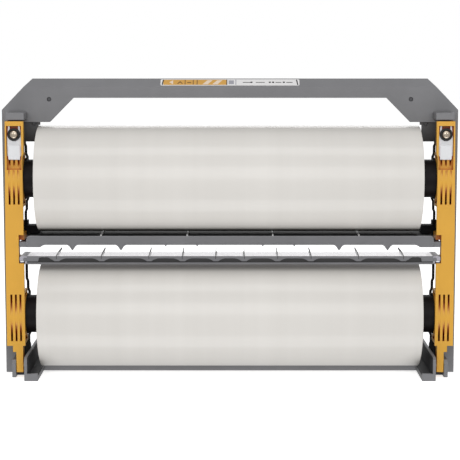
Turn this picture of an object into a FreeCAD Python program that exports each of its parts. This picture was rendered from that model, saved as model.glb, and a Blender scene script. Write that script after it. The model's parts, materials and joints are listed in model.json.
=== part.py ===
import FreeCAD, Part
import math
import os
import re
import Sketcher

# A film supply cartridge for a roll laminator: an upper and a lower roll of laminating film
# on black end plugs, held in an open grey frame between rear bearing rails and two swinging
# side arms, with a film guide between the rolls.
#
# Frame: X across the cartridge, -Y towards the film mouth (the front), +Z up.
# Origin: the middle of the base on the surface that it stands on. Millimetres.
# Everything on the +X side is modelled once and mirrored to the -X side.

SIZES = [
    # alias, value, meaning
    ("front_y", -9.0, "front face of the frame, which is also the plane of both roll axes"),
    ("frame_depth", 60.2, "frame, front to back"),
    ("frame_half", 182.2, "half of the overall width"),
    ("frame_top", 238.0, "overall height"),
    ("wall", 3.0, "wall of the bridge"),
    ("bridge_low", 222.8, "underside of the bridge's front web"),
    ("bevel_low", 231.8, "lower edge of the label bevel"),
    ("bevel_depth", 8.0, "label bevel, front to back"),
    ("top_fall", 1.5, "how much the top falls towards the back"),
    ("corner_x", 158.3, "where the top edge turns down"),
    ("corner_z", 213.3, "where the turned edge meets the side"),
    ("grip_half", 124.8, "half of the hand opening at its top"),
    ("gusset_half", 143.9, "half of the hand opening at its bottom"),
    ("shoulder_z", 203.5, "lower edge of the bridge's shoulders"),
    ("tab_x", 153.6, "inner edge of the shoulder tab, just outside the film"),
    ("tab_z", 187.8, "lower edge of the shoulder tab"),
    ("side_x", 178.5, "inner face of the side wall"),
    ("flange_x", 177.3, "inner edge of the side wall's front flange"),
    ("roll_half", 152.2, "half of the film width"),
    ("film_radius", 42.2, "outside of the film on a full roll"),
    ("core_radius", 20.0, "outside of the core tube"),
    ("core_wall", 2.5, "wall of the core tube"),
    ("hub_radius", 15.2, "journal of an end plug"),
    ("hub_end", 176.0, "outer end of a journal"),
    ("plug_depth", 22.0, "how far a plug goes into its core"),
    ("upper_z", 158.4, "upper roll axis"),
    ("lower_z", 48.5, "lower roll axis"),
    ("run_gap", 0.05, "running clearance, on the radius"),
    ("rail_x", 164.4, "inner face of a rail"),
    ("rail_in", 162.4, "inner face of a rail at a bearing, and inner end of the bearing"),
    ("rail_thick", 2.0, "rail, across"),
    ("rail_front", 7.0, "rail behind the frame's front"),
    ("rail_deep", 2.0, "rail, front to back"),
    ("sleeve_radius", 16.6, "outside of the bearing's half sleeve"),
    ("block_x", 168.5, "inner face of a bearing block"),
    ("block_half", 18.0, "half height of a bearing block"),
    ("block_deep", 19.5, "bearing block, front to back"),
    ("arm_in", 163.9, "inner edge of an arm"),
    ("arm_top_in", 162.9, "inner edge of an arm's head"),
    ("arm_out_top", 177.2, "outer edge of an arm at its top"),
    ("arm_plate", 3.0, "thickness of an arm's front plate"),
    ("arm_wall", 176.3, "inner face of an arm's outer wall"),
    ("arm_front", 19.0, "arm's front face ahead of the frame's"),
    ("arm_back", 0.4, "arm's back face ahead of the frame's"),
    ("arm_low", 25.5, "lower shoulder of an arm"),
    ("arm_heel", 20.5, "lower edge of an arm's heel"),
    ("arm_top", 205.0, "top of an arm"),
    ("saddle_radius", 16.5, "hollow of an arm over a journal"),
    ("shell_radius", 19.0, "outside of the shell over a journal"),
    ("groove_pitch", 3.6, "arm grooves, centre to centre"),
    ("groove_wide", 1.6, "arm groove width"),
    ("groove_x", 170.8, "middle arm groove"),
    ("notch_low", 92.2, "arm notch for the guide, lower edge"),
    ("notch_high", 114.9, "arm notch for the guide, upper edge"),
    ("notch_x", 167.8, "arm notch for the guide, depth"),
    ("notch_hood", 110.4, "underside of the hood deep in the notch, over the upper lug"),
    ("pivot_out", 15.0, "arm pivot ahead of the frame's front"),
    ("pivot_z", 9.0, "arm pivot above the base"),
    ("pivot_radius", 1.5, "arm pivot pin"),
    ("tongue_low", 4.1, "bottom of an arm's tongue"),
    ("tongue_in", 165.8, "inner face of an arm's tongue"),
    ("tongue_out", 171.2, "outer face of an arm's tongue"),
    ("head_back", 13.4, "back of an arm's head ahead of the frame's front"),
    ("recess_low", 166.7, "latch recess, lower edge"),
    ("recess_high", 201.4, "latch recess, upper edge"),
    ("recess_floor", 15.6, "latch recess floor ahead of the frame's front"),
    ("latch_x", 170.3, "latch centre line"),
    ("latch_half", 5.45, "half width of a latch"),
    ("latch_screw_z", 194.6, "latch screw"),
    ("cap_low", 206.2, "underside of the block over an arm"),
    ("cap_high", 211.6, "top of the block over an arm"),
    ("guide_front", 20.0, "guide's front edge ahead of the frame's"),
    ("guide_half", 161.5, "half of the guide between its lugs"),
    ("lug_end", 167.3, "outer end of a guide lug"),
    ("jaw_low", 107.1, "lower edge of the upper jaw"),
    ("jaw_high", 114.3, "top of the upper jaw"),
    ("table_z", 98.0, "film table of the lower jaw"),
    ("table_low", 91.5, "lower edge of the lower jaw's lip"),
    ("low_shelf", 90.9, "underside of the shelf under the lower jaw's lug"),
    ("high_shelf", 109.5, "underside of the shelf over the upper jaw's lug"),
    ("lug_low", 105.2, "underside of the upper jaw's lug"),
    ("lug_screw_x", 164.6, "screw through a guide lug"),
    ("base_screw_x", 174.5, "screws up through the base into a side frame"),
    ("foot_front", 34.0, "foot ahead of the frame's front"),
    ("foot_in", 152.5, "inner edge of a foot"),
    ("foot_thick", 3.5, "floor of a foot"),
    ("floor_thick", 2.2, "floor between a foot and the side wall"),
    ("slot_wall", 19.0, "height of the inner slot wall"),
    ("slot_in", 160.9, "inner face of the inner slot wall"),
    ("slot_x", 163.1, "outer face of the inner slot wall, where the slot begins"),
    ("slot_end", 171.6, "inner face of the outer slot wall, where the slot ends"),
    ("roof_low", 111.9, "underside of the guide carrier's roof"),
    ("roof_high", 114.1, "top of the guide carrier's roof"),
    ("carrier_top", 120.5, "top of the guide carrier's end brackets"),
]

# Distances of screws behind the frame's front.
BASE_SCREWS = (20, 50)
LOWER_LUG_SCREW, UPPER_LUG_SCREW = 4.2, 15

# X of the ten fins of the film guide, on the right.
FINS = (11.2, 37.7, 64.2, 102.0, 137.7)

# Hanging teeth of the upper jaw, on the right: X, half width and drop.
JAW_TEETH = ((26.0, 1.2, 1.2), (51.0, 1.2, 1.2), (86.6, 4.3, 4.3), (125.1, 4.3, 4.3))

# Where the bridge is screwed to each side frame: X, Z and the seat's distance behind the front.
FRAME_SCREWS = [(144.3, 221.7, "0"), (156.7, 202.3, "wall")]

SHEET = "Sizes"
ALIASES = {alias for alias, value, meaning in SIZES}
PLANES = {"XY": "XY_Plane", "XZ": "XZ_Plane", "YZ": "YZ_Plane"}
TURN_TO_X = FreeCAD.Rotation(FreeCAD.Vector(0, 1, 0), 90)
TURN_TO_Y = FreeCAD.Rotation(FreeCAD.Vector(1, 0, 0), -90)

doc = FreeCAD.newDocument("film_cartridge")
nodes = []


def make_sheet():
    sheet = doc.addObject("Spreadsheet::Sheet", SHEET)
    for row, (alias, value, meaning) in enumerate(SIZES, start=1):
        sheet.set("A%d" % row, meaning)
        sheet.set("B%d" % row, str(value))
        sheet.setAlias("B%d" % row, alias)
    doc.recompute()


def linked(text):
    """Turn the aliases in a formula into references to the sheet."""
    return re.sub(r"[a-z][a-z_]*", lambda word: SHEET + "." + word.group(0)
                  if word.group(0) in ALIASES else word.group(0), str(text))


def bind(item, **formulas):
    for name, formula in formulas.items():
        item.setExpression(name.replace("__", "."), linked(formula))


def place(item, x, y, z):
    bind(item, Placement__Base__x=x, Placement__Base__y=y, Placement__Base__z=z)


def ahead(distance):
    """The Y of a place that far ahead of the frame's front face."""
    return "front_y - (%s)" % distance


def behind(distance):
    """The Y of a place that far behind the frame's front face."""
    return "front_y + (%s)" % distance


def block(x_span, y_span, z_span):
    """A box between three pairs of formulas."""
    box = doc.addObject("Part::Box", "Block")
    bind(box, Length="(%s) - (%s)" % (x_span[1], x_span[0]),
         Width="(%s) - (%s)" % (y_span[1], y_span[0]),
         Height="(%s) - (%s)" % (z_span[1], z_span[0]))
    place(box, x_span[0], y_span[0], z_span[0])
    return box


def rod(radius, start, length, turn=None):
    """A cylinder from a start point, along Z, or along the axis that turn gives."""
    cylinder = doc.addObject("Part::Cylinder", "Rod")
    if turn:
        cylinder.Placement.Rotation = turn
    bind(cylinder, Radius=radius, Height=length)
    place(cylinder, *start)
    return cylinder


def rod_across(radius, x_span, y, z):
    """A cylinder along X."""
    return rod(radius, (x_span[0], y, z), "(%s) - (%s)" % (x_span[1], x_span[0]), TURN_TO_X)


def outline(body, plane, points, offset):
    """A closed sketch polygon on one of the body's own planes, each corner bound to the sheet."""
    sketch = body.newObject("Sketcher::SketchObject", "Outline")
    support = [f for f in body.Origin.OriginFeatures if f.Role == PLANES[plane]][0]
    sketch.AttachmentSupport = [(support, "")]
    sketch.MapMode = "FlatFace"
    bind(sketch, AttachmentOffset__Base__z=offset)
    count = len(points)
    ring = [FreeCAD.Vector(50 * math.cos(2 * math.pi * i / count),
                           50 * math.sin(2 * math.pi * i / count), 0) for i in range(count)]
    for i in range(count):
        sketch.addGeometry(Part.LineSegment(ring[i], ring[(i + 1) % count]), False)
    for i in range(count):
        sketch.addConstraint(Sketcher.Constraint("Coincident", i, 2, (i + 1) % count, 1))
    for i, (across, up) in enumerate(points):
        for kind, value, formula in (("DistanceX", ring[i].x, across),
                                     ("DistanceY", ring[i].y, up)):
            number = sketch.addConstraint(Sketcher.Constraint(kind, -1, 1, i, 1, value))
            sketch.setExpression("Constraints[%d]" % number, linked(formula))
    return sketch


def prism(plane, points, span):
    """A body padded from an outline. On XZ the span runs along Y, on YZ along X."""
    body = doc.addObject("PartDesign::Body", "Body")
    flip = plane == "XZ"  # this plane faces -Y
    start = "-(%s)" % span[1] if flip else span[0]
    sketch = outline(body, plane, points, start)
    pad = body.newObject("PartDesign::Pad", "Pad")
    pad.Profile = sketch
    bind(pad, Length="(%s) - (%s)" % (span[1], span[0]))
    sketch.Visibility = False
    return body


def fuse(*pieces):
    union = doc.addObject("Part::MultiFuse", "Union")
    union.Shapes = list(pieces)
    return union


def cut(base, *tools):
    difference = doc.addObject("Part::Cut", "Difference")
    difference.Base = base
    difference.Tool = tools[0] if len(tools) == 1 else fuse(*tools)
    return difference


def mirrored(item):
    """The same piece on the -X side."""
    twin = doc.addObject("Part::Mirroring", "Mirrored")
    twin.Source = item
    twin.Normal = FreeCAD.Vector(1, 0, 0)
    return twin


def group(*pieces):
    """Separate solids that share one node, such as identical fasteners."""
    compound = doc.addObject("Part::Compound", "Group")
    compound.Links = list(pieces)
    return compound


def node(label, item):
    item.Label = label
    nodes.append(item)
    return item


def pair(name, item):
    """One piece on each side."""
    node("right_" + name, item)
    node("left_" + name, mirrored(item))


def both(item):
    return [item, mirrored(item)]


def make_bridge():
    """Handle across the top with its bevel, turned corners and gussets."""
    shell = prism("XZ", [
        ("-frame_half", "shoulder_z"), ("-frame_half", "corner_z"), ("-corner_x", "frame_top"),
        ("corner_x", "frame_top"), ("frame_half", "corner_z"), ("frame_half", "shoulder_z"),
    ], ("front_y", behind("frame_depth")))
    inside = [
        ("-(frame_half - wall)", "shoulder_z - 1"), ("-(frame_half - wall)", "corner_z - wall / 2"),
        ("-(corner_x - wall / 2)", "frame_top - wall"), ("corner_x - wall / 2", "frame_top - wall"),
        ("frame_half - wall", "corner_z - wall / 2"), ("frame_half - wall", "shoulder_z - 1"),
    ]
    hollow = prism("XZ", inside, (behind("bevel_depth + 1"), behind("frame_depth + 1")))
    nose = block(("-(frame_half + 1)", "frame_half + 1"), (behind("wall"), behind("bevel_depth + 1")),
                 ("shoulder_z - 1", "bevel_low - wall"))
    nose_room = prism("XZ", inside, (behind("wall"), behind("bevel_depth + 1")))
    nose_hollow = doc.addObject("Part::MultiCommon", "Common")
    nose_hollow.Shapes = [nose, nose_room]
    opening = prism("XZ", [
        ("-gusset_half", "shoulder_z - 1"), ("-gusset_half", "shoulder_z"), ("-grip_half", "bridge_low"),
        ("grip_half", "bridge_low"), ("gusset_half", "shoulder_z"), ("gusset_half", "shoulder_z - 1"),
    ], (behind("-1"), behind("bevel_depth + 2")))
    slope = "(frame_top - bevel_low) / bevel_depth"
    bevel = prism("YZ", [
        (behind("-1"), "bevel_low - " + slope), (behind("bevel_depth + 1"), "frame_top + " + slope),
        (behind("-1"), "frame_top + " + slope),
    ], ("-(frame_half + 1)", "frame_half + 1"))
    fall = prism("YZ", [
        (behind("bevel_depth"), "frame_top"), (behind("frame_depth"), "frame_top - top_fall"),
        (behind("frame_depth + 1"), "frame_top - top_fall"), (behind("frame_depth + 1"), "frame_top + 1"),
        (behind("bevel_depth"), "frame_top + 1"),
    ], ("-(frame_half + 1)", "frame_half + 1"))
    holes = []
    for x, z, seat in FRAME_SCREWS:
        holes += both(rod("1.25", (x, behind(seat), z), "4", TURN_TO_Y))
        holes += both(rod("1.8", (x, behind("%s - 1" % seat), z), "2.4", TURN_TO_Y))
    node("bridge_handle", cut(shell, hollow, nose_hollow, opening, bevel, fall, *holes))


def make_frame_screws():
    """Sunk screws that hold the bridge to the side frames' top tabs."""
    screws = []
    for x, z, seat in FRAME_SCREWS:
        head = rod("1.25", (x, behind("%s + 0.6" % seat), z), "0.8", TURN_TO_Y)
        shank = rod("1.2", (x, behind("%s + 1.4" % seat), z), "3 * wall - 1.4 - (%s)" % seat, TURN_TO_Y)
        screws += both(fuse(head, shank))
    node("frame_screws", group(*screws))


def make_label():
    """Thin plate on the bevel."""
    low, high = 0.1, 0.9
    rise = "(frame_top - bevel_low)"
    node("label_plate", prism("YZ", [
        (behind("bevel_depth * %s" % low), "bevel_low + %s * %s" % (rise, low)),
        (behind("bevel_depth * %s" % high), "bevel_low + %s * %s" % (rise, high)),
        (behind("bevel_depth * %s - 0.23" % high), "bevel_low + %s * %s + 0.33" % (rise, high)),
        (behind("bevel_depth * %s - 0.23" % low), "bevel_low + %s * %s + 0.33" % (rise, low)),
    ], ("-55.5", "55.5")))


def make_side_frame():
    """Side wall with its front flange, top tab, guide shelves and foot flange."""
    wall_plate = block(("side_x", "frame_half"), ("front_y", behind("frame_depth")), (0, "shoulder_z"))
    flange = block(("flange_x", "side_x"), ("front_y", behind("wall")), (0, "shoulder_z"))
    tab = prism("XZ", [
        ("tab_x + 0.4", "tab_z + 3.5"), ("side_x", "tab_z + 3.5"), ("side_x", "corner_z - 1.6"),
        ("side_x - 12.5", "corner_z + 10.7"), ("gusset_half - 6", "corner_z + 10.7"),
        ("gusset_half - 6", "corner_z + 4"), ("tab_x + 0.4", "shoulder_z + 0.5"),
    ], (behind("2 * wall"), behind("3 * wall")))
    lower_flange = block(("slot_end + 1.2", "side_x"), ("front_y", behind("wall")), (0, 28))
    lower_shelf, upper_shelf = [
        block(("guide_half + 1", "side_x"), (behind(1), behind(20)), (shelf, shelf + " + wall"))
        for shelf in ("low_shelf", "high_shelf")]
    shelf_web = block(("lug_end + 4", "side_x"), (behind(1), behind(3)),
                      ("low_shelf", "high_shelf + wall"))
    foot = block((170, "side_x"), (behind(12), behind(58)), ("floor_thick", 4.8))
    holes = [rod("1.55", ("base_screw_x", behind(y), 1.5), "4.2") for y in BASE_SCREWS]
    for y, shelf in ((LOWER_LUG_SCREW, "low_shelf"), (UPPER_LUG_SCREW, "high_shelf")):
        holes.append(rod("1.55", ("lug_screw_x", behind(y), shelf + " - 0.6"), "4.2"))
    holes += [rod("1.25", (x, behind(5), z), "5", TURN_TO_Y) for x, z, seat in FRAME_SCREWS]
    ribs = [block(("side_x - 3", "side_x"), (behind(24), behind("frame_depth - 2")), (z, z + 2.2))
            for z in (30, 68, 128, 168)]
    whole = fuse(wall_plate, flange, lower_flange, tab, lower_shelf, upper_shelf, shelf_web, foot, *ribs)
    pair("side_frame", cut(whole, *holes))


def rail_outline(axis_z, side, end):
    """A thin rail from a bearing to its far end, stepping outwards twice. Side is 1 above, -1 below."""
    def level(distance):
        return "%s + %s" % (axis_z, side * distance)
    inner = [("rail_in", level(14.2)), ("rail_in", level(17)), ("rail_x - 0.9", level(19.5)),
             ("rail_x - 0.9", level(25.6)), ("rail_x", level(27.6)), ("rail_x", end)]
    outer = [(x + " + rail_thick", z) for x, z in reversed(inner)]
    return inner + outer


def make_bearing_rail():
    """Black inner rail: its two blocks are the rear halves of the split roll bearings."""
    pieces, bores, fronts = [], [], []
    for axis_z, low, high in (("lower_z", "19.4", "90.9"), ("upper_z", "carrier_top + 3.5", "tab_z + 1")):
        for side, end in ((-1, low), (1, high)):
            pieces.append(prism("XZ", rail_outline(axis_z, side, end),
                                (behind("rail_front"), behind("rail_front + rail_deep"))))
        pieces.append(rod_across("sleeve_radius", ("rail_in", "block_x + 1"), "front_y", axis_z))
        pieces.append(block(("block_x", "side_x"), ("front_y", behind("block_deep")),
                            (axis_z + " - block_half", axis_z + " + block_half")))
        bores.append(rod_across("hub_radius + run_gap", ("rail_in - 1", "hub_end + 0.6"), "front_y", axis_z))
        fronts.append(block(("rail_in - 1", "side_x"), (ahead(30), "front_y"),
                            (axis_z + " - 20", axis_z + " + 20")))
    tab = prism("XZ", [
        ("tab_x - 1.4", "shoulder_z + 4"), ("tab_x - 1.4", "shoulder_z - 2.3"),
        ("tab_x", "shoulder_z - 2.5"), ("tab_x", "tab_z"),
        ("rail_x + rail_thick", "tab_z"), ("rail_x + rail_thick", "shoulder_z + 4"),
    ], (behind("wall"), behind("2 * wall")))
    foot = prism("XZ", [
        ("rail_x", 29), ("rail_x", 26), (162.9, 22), (162.9, "slot_wall"), ("slot_x", "slot_wall"),
        ("slot_x", "floor_thick"), (175, "floor_thick"), (175, 24),
        ("rail_x + rail_thick", 26), ("rail_x + rail_thick", 29),
    ], (behind("rail_front"), behind("rail_front + rail_deep")))
    tab_edge = block(("tab_x", "rail_x + rail_thick"), (behind("wall"), behind("rail_front + rail_deep")),
                     ("tab_z", "tab_z + 2"))
    x, z, seat = FRAME_SCREWS[1]
    screw_room = fuse(rod("1.25", (x, behind(seat), z), "4", TURN_TO_Y),
                      rod("1.8", (x, behind("%s - 1" % seat), z), "2.4", TURN_TO_Y))
    flange_room = block(("flange_x", "side_x + 1"), (behind(-1), behind("wall")), (0, "shoulder_z"))
    pair("bearing_rail", cut(fuse(*pieces, tab, tab_edge, foot), *bores, *fronts, flange_room, screw_room))


def make_foot_liner():
    """Black liner on the inner side of each foot, and the slot floor under each arm."""
    run = (ahead("foot_front - 2.6"), behind("frame_depth - 2"))
    side = block(("slot_in - 0.8", "slot_in"), run, ("foot_thick", "slot_wall - 0.7"))
    floor = block(("foot_in + 0.4", "slot_in"), run, ("foot_thick", "foot_thick + 0.8"))
    slot_floor = block(("slot_x", "slot_end"), (ahead(12), "front_y"), (0.3, 2.5))
    pair("foot_liner", group(fuse(side, floor), slot_floor))


def make_cap():
    """Block over each arm, with the socket that the latch slides up into."""
    body = block((162.3, 176.8), (ahead(18), "front_y"), ("cap_low", "cap_high"))
    socket = block(("latch_x - 5.6", "latch_x + 5.6"), (ahead(17.4), ahead(15.3)),
                   ("cap_low - 1", "cap_high - 1.6"))
    pair("cap_block", cut(body, socket))


def make_base():
    """Floor bar, two long feet and the slot walls that the arms stand between."""
    back = behind("frame_depth")
    bar = block(("-foot_in", "foot_in"), (behind(6), back), (0, 4))
    foot = block(("foot_in", "slot_x"), (ahead("foot_front"), back), (0, "foot_thick"))
    lip = block(("foot_in", "slot_x"), (ahead("foot_front"), ahead("foot_front - 2.5")), (0, 5.8))
    inner_wall = prism("YZ", [
        (ahead("foot_front"), 0), (ahead("foot_front"), "slot_wall - 1.8"),
        (ahead("foot_front - 3"), "slot_wall"),
        (back, "slot_wall"), (back, 0)], ("slot_in", "slot_x"))
    floor = block(("slot_x", "side_x"), (behind("wall"), back), (0, "floor_thick"))
    sill = block(("slot_x", "slot_end + 1.2"), ("front_y", behind("wall")), (0, "floor_thick"))
    outer_wall = prism("YZ", [
        (ahead(20), 0), (ahead(20), 11), (ahead(17.5), 14), ("front_y", 14), ("front_y", 0)],
        ("slot_end", "slot_end + 3"))
    pin_hole = rod_across("pivot_radius", ("slot_in - 1", "slot_end + 4"), ahead("pivot_out"), "pivot_z")
    screw_holes = []
    for y in BASE_SCREWS:
        screw_holes.append(rod("1.55", ("base_screw_x", behind(y), -1), "4"))
        screw_holes.append(rod("3.2", ("base_screw_x", behind(y), -1), "2"))
    side = cut(fuse(foot, lip, inner_wall, floor, sill, outer_wall), pin_hole, *screw_holes)
    node("base_tray", fuse(bar, *both(side)))


def make_base_screws():
    screws = []
    for y in BASE_SCREWS:
        head = rod("3.0", ("base_screw_x", behind(y), 0.3), "0.7")
        shank = rod("1.5", ("base_screw_x", behind(y), 1), "3.8")
        screws += both(fuse(head, shank))
    node("base_screws", group(*screws))


def make_pivot_pins():
    node("pivot_pins", group(*both(rod_across("pivot_radius", ("slot_in", "slot_end + 3"),
                                              ahead("pivot_out"), "pivot_z"))))


def make_roll(name, axis_z):
    """Film wound on a core tube, with a plug and journal at each end."""
    def tube(outer, inner, half):
        return cut(rod_across(outer, ("-" + half, half), "front_y", axis_z),
                   rod_across(inner, ("-%s - 1" % half, half + " + 1"), "front_y", axis_z))
    node(name + "_film", tube("film_radius", "core_radius", "roll_half"))
    node(name + "_core_tube", tube("core_radius", "core_radius - core_wall", "roll_half"))
    spigot = rod_across("core_radius - core_wall", ("roll_half - plug_depth", "roll_half"),
                        "front_y", axis_z)
    journal = rod_across("hub_radius", ("roll_half", "hub_end"), "front_y", axis_z)
    bore = rod_across("hub_radius - 3", ("roll_half - plug_depth - 1", "hub_end - 2.5"), "front_y", axis_z)
    plug = cut(fuse(spigot, journal), bore)
    node(name + "_right_plug", plug)
    node(name + "_left_plug", mirrored(plug))


def arm_grooves(axis_z):
    """Three upright grooves whose floors follow the shell over a journal."""
    slots = []
    for step in (-1, 0, 1):
        middle = "groove_x + %d * groove_pitch" % step
        slots.append(block((middle + " - groove_wide / 2", middle + " + groove_wide / 2"),
                           (ahead("arm_front + 1"), ahead(8)), (axis_z + " - 19.2", axis_z + " + 18.6")))
    shell = rod_across("shell_radius", ("arm_top_in - 1", "side_x + 1"), "front_y", axis_z)
    return cut(fuse(*slots), shell)


def swing_room():
    """Where the lower journal passes, seen from the arm, as the arm swings away from it."""
    places = []
    for degrees in range(3, 34, 3):
        turn = math.radians(degrees)
        back = "pivot_out * %.5f + (lower_z - pivot_z) * %.5f" % (math.cos(turn) - 1, math.sin(turn))
        up = "(lower_z - pivot_z) * %.5f - pivot_out * %.5f" % (math.cos(turn), math.sin(turn))
        places.append(rod_across("hub_radius + 0.5", ("arm_in - 1", "arm_wall"),
                                 behind(back), "pivot_z + " + up))
    return fuse(*places)


def make_arm():
    """Swinging side arm: a front plate whose half shells close both bearings on its side."""
    front, back = ahead("arm_front"), ahead("arm_back")
    plate = prism("XZ", [
        ("arm_in", "arm_low"), ("arm_in", "notch_low"), ("notch_x", "notch_low"),
        ("notch_x", "notch_high"), ("arm_in", "notch_high"), ("arm_in", 176.5),
        ("arm_top_in", 179.5), ("arm_top_in", "arm_top"), ("arm_out_top", "arm_top"),
        ("side_x - 0.2", 120), ("side_x", "arm_low"), (173.8, "arm_low"), (173.8, "arm_heel"),
        ("tongue_in", "arm_heel"), ("tongue_in", "arm_low"),
    ], (front, ahead("arm_front - arm_plate")))
    outer_wall = prism("XZ", [
        ("arm_wall", "arm_low"), ("arm_wall", "arm_top"), ("arm_out_top", "arm_top"),
        ("side_x - 0.2", 120), ("side_x", "arm_low"),
    ], (front, back))
    head = prism("XZ", [
        ("arm_in", "recess_low - 1"), ("arm_in", 176.5), ("arm_top_in", 179.5),
        ("arm_top_in", "arm_top"), ("arm_wall", "arm_top"), ("arm_wall", "recess_low - 1"),
    ], (front, ahead("head_back")))
    saddle_ends = []
    for z in ("lower_z", "upper_z"):
        for low, high in (("-21.3", "-19"), ("19", "21")):
            saddle_ends.append(block(("arm_in", "arm_wall"), (front, back),
                                     (z + " + " + low, z + " + " + high)))
    notch_rim = cut(
        block(("arm_in", "notch_x + 1.2"), (front, ahead(11)), ("notch_low - 1.2", "notch_high + 1.2")),
        block(("arm_in - 1", "notch_x"), (ahead("arm_front + 1"), behind(1)), ("notch_low", "notch_high")))
    notch_hood = block(("arm_in", "notch_x + 1.2"), (ahead(14), back), ("notch_hood", "notch_high + 1.2"))
    screw_boss = rod("3.6", ("latch_x", ahead("head_back + 1"), "latch_screw_z"), "6", TURN_TO_Y)
    tongue = block(("tongue_in", "tongue_out"), (front, ahead(11)), ("tongue_low", "arm_low + 3"))
    heel = block(("tongue_in", 173.8), (front, ahead(11)), ("arm_heel", "arm_low + 3"))
    shells = [rod_across("shell_radius", ("arm_in", "arm_wall + 0.5"), "front_y", z)
              for z in ("lower_z", "upper_z")]
    rear = block((150, 190), (back, behind(30)), (20, 200))
    saddles = [rod_across("saddle_radius", ("arm_top_in - 1", "arm_wall"), "front_y", z)
               for z in ("lower_z", "upper_z")]
    recess = block(("latch_x - 5.8", "latch_x + 5.9"), (ahead("arm_front + 1"), ahead("recess_floor")),
                   ("recess_low", "recess_high"))
    window = block(("latch_x - 3.2", "latch_x + 3.2"), (ahead("recess_floor + 1"), ahead("head_back + 0.8")),
                   ("recess_high - 3.6", "recess_high"))
    tip_slot = block(("latch_x - 5.8", "latch_x + 5.8"), (ahead(17.4), ahead("recess_floor")),
                     ("recess_high - 1", "arm_top + 1"))
    screw_hole = rod("1.55", ("latch_x", front, "latch_screw_z"), "11", TURN_TO_Y)
    bore = rod_across("pivot_radius + run_gap", ("tongue_in - 1", "tongue_out + 1"),
                      ahead("pivot_out"), "pivot_z")
    solid = fuse(plate, outer_wall, head, screw_boss, tongue, heel, notch_rim, notch_hood,
                 *shells, *saddle_ends)
    pair("arm", cut(solid, rear, *saddles, recess, window, tip_slot, screw_hole, bore,
                    arm_grooves("lower_z"), arm_grooves("upper_z"), swing_room()))


def make_brake_pads():
    """Felt pads in the arms' hollows, which drag on the journals."""
    pads = []
    for axis_z in ("lower_z", "upper_z"):
        shell = cut(rod_across("saddle_radius", (166, 176), "front_y", axis_z),
                    rod_across("hub_radius + 0.3", (165, 177), "front_y", axis_z))
        front = block((165, 177), (ahead(20), ahead(12)), (axis_z + " - 20", axis_z + " + 20"))
        pad = doc.addObject("Part::MultiCommon", "Common")
        pad.Shapes = [shell, front]
        pads.append(pad)
    pair("brake_pads", group(*pads))


def make_latch():
    """Forked slide that rides up behind its screw into the block above the arm."""
    back = ahead("recess_floor + 0.1")
    plate = prism("XZ", [
        ("latch_x - 4.4", 174.6), ("latch_x + 4.4", 174.6), ("latch_x + 4.4", 176.4),
        ("latch_x + latch_half", 178.2), ("latch_x + latch_half", 192),
        ("latch_x + latch_half - 0.9", "recess_high - 0.4"),
        ("latch_x - latch_half + 0.9", "recess_high - 0.4"), ("latch_x - latch_half", 192),
        ("latch_x - latch_half", 178.2), ("latch_x - 4.4", 176.4)], (ahead(17.2), back))
    tips = block(("latch_x - latch_half + 0.9", "latch_x + latch_half - 0.9"), (ahead(17), back),
                 ("recess_high - 1", "arm_top - 0.3"))
    fork = block(("latch_x - 1.6", "latch_x + 1.6"), (ahead(19), ahead(15)), ("latch_screw_z - 5.2", 197.5))
    mouth = block(("latch_x - 3.3", "latch_x + 3.3"), (ahead(19), ahead(15)), (197.5, "arm_top + 1"))
    ledge = block(("latch_x - 4.6", "latch_x + 4.6"), (ahead(18.2), ahead(17.1)), (175.2, 186))
    pair("latch", cut(fuse(plate, tips, ledge), fork, mouth))


def make_latch_screw():
    head = rod("3.05", ("latch_x", ahead(20.5), "latch_screw_z"), "1.9", TURN_TO_Y)
    shank = rod("1.5", ("latch_x", ahead(18.6), "latch_screw_z"), "9.6", TURN_TO_Y)
    cross = [block(("latch_x - %s" % wide, "latch_x + %s" % wide), (ahead(21), ahead(19.5)),
                   ("latch_screw_z - %s" % tall, "latch_screw_z + %s" % tall))
             for wide, tall in ((1.9, 0.4), (0.4, 1.9))]
    pair("latch_screw", cut(fuse(head, shank), *cross))


def make_latch_washer():
    disc = rod("5.1", ("latch_x", ahead(18.6), "latch_screw_z"), "1.0", TURN_TO_Y)
    hole = rod("1.6", ("latch_x", ahead(19), "latch_screw_z"), "2", TURN_TO_Y)
    pair("latch_washer", cut(disc, hole))


def jaw_teeth(sign):
    """Corner points of the upper jaw's lower edge on one side, from the middle outwards."""
    points = []
    for x, half, drop in JAW_TEETH:
        points += [(sign * (x - half), "jaw_low"), (sign * x, "jaw_low - %s" % drop),
                   (sign * (x + half), "jaw_low")]
    points += [(sign * 147, "jaw_low"), (sign * 151, "lug_low")]
    side = "" if sign > 0 else "-"
    return points + [(side + "guide_half", "lug_low")]


def make_upper_jaw():
    """Upper half of the film guide: a toothed front lip, ribs over the roof and end lugs."""
    right, left = jaw_teeth(1), jaw_teeth(-1)
    lip = prism("XZ", right + [("guide_half", "jaw_high - 2"), ("guide_half - 1.5", "jaw_high"),
                               ("-(guide_half - 1.5)", "jaw_high"), ("-guide_half", "jaw_high - 2")]
                + left[::-1], (ahead("guide_front"), ahead("guide_front - 2.4")))
    ribs = []
    for x in (34, 102.5):
        ribs += both(block((x - 0.6, x + 0.6), (ahead("guide_front - 1"), behind(19)),
                           ("roof_high", "roof_high + 1")))
    lug = cut(block(("guide_half - 1.5", "lug_end"), (ahead(19.5), behind(20)), ("lug_low", "high_shelf")),
              rod("1.5", ("lug_screw_x", behind(UPPER_LUG_SCREW), "lug_low - 0.2"), "5"))
    node("upper_guide_jaw", fuse(lip, *ribs, *both(lug)))


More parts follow.
